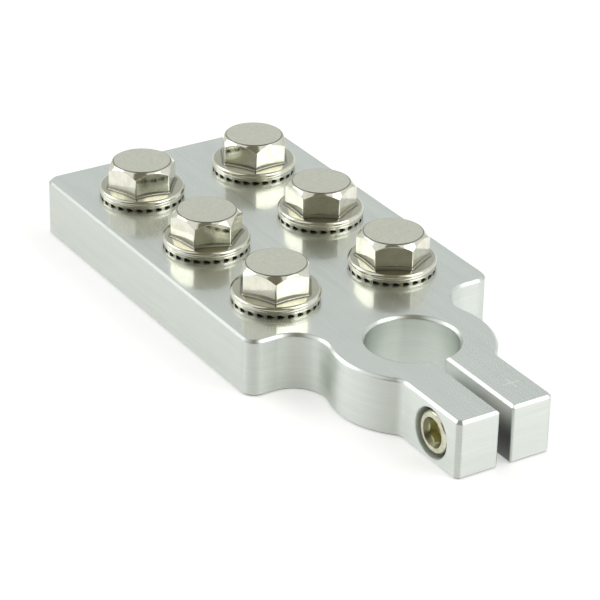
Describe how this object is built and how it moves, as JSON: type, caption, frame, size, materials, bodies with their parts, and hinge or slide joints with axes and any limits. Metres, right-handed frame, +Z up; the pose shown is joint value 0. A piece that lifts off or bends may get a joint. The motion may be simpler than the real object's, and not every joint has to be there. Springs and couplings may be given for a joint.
{
  "type": "battery terminal clamp",
  "caption": "Split-collar clamp for a battery post with a flat plate and serrated flange bolts that hold ring terminals.",
  "frame": {"origin": "on the axis of the post bore, at the bottom face", "axes": "+Z up along the post, +Y from the bore along the plate, +X to the side of the ear with the tapped hole"},
  "size_m": [0.0556, 0.1277, 0.0196],
  "materials": {
    "machined_aluminium": "satin",
    "bright_nickel": "gloss",
    "dark_nickel": "satin"
  },
  "bodies": {
    "clamp": {"clamp_body": "machined_aluminium"},
    "bolt_1": {"flange_bolt_1": "bright_nickel"},
    "bolt_2": {"flange_bolt_2": "bright_nickel"},
    "bolt_3": {"flange_bolt_3": "bright_nickel"},
    "bolt_4": {"flange_bolt_4": "bright_nickel"},
    "bolt_5": {"flange_bolt_5": "bright_nickel"},
    "bolt_6": {"flange_bolt_6": "bright_nickel"},
    "screw": {"pinch_screw": "dark_nickel"}
  },
  "joints": [
    {"name": "bolt_1_out", "type": "slide", "parent": "clamp", "child": "bolt_1", "axis": [0, 0, 1], "range_m": [0, 0.01]},
    {"name": "bolt_2_out", "type": "slide", "parent": "clamp", "child": "bolt_2", "axis": [0, 0, 1], "range_m": [0, 0.01]},
    {"name": "bolt_3_out", "type": "slide", "parent": "clamp", "child": "bolt_3", "axis": [0, 0, 1], "range_m": [0, 0.01]},
    {"name": "bolt_4_out", "type": "slide", "parent": "clamp", "child": "bolt_4", "axis": [0, 0, 1], "range_m": [0, 0.01]},
    {"name": "bolt_5_out", "type": "slide", "parent": "clamp", "child": "bolt_5", "axis": [0, 0, 1], "range_m": [0, 0.01]},
    {"name": "bolt_6_out", "type": "slide", "parent": "clamp", "child": "bolt_6", "axis": [0, 0, 1], "range_m": [0, 0.01]},
    {"name": "screw_out", "type": "slide", "parent": "clamp", "child": "screw", "axis": [-1, 0, 0], "range_m": [0, 0.0048]}
  ]
}
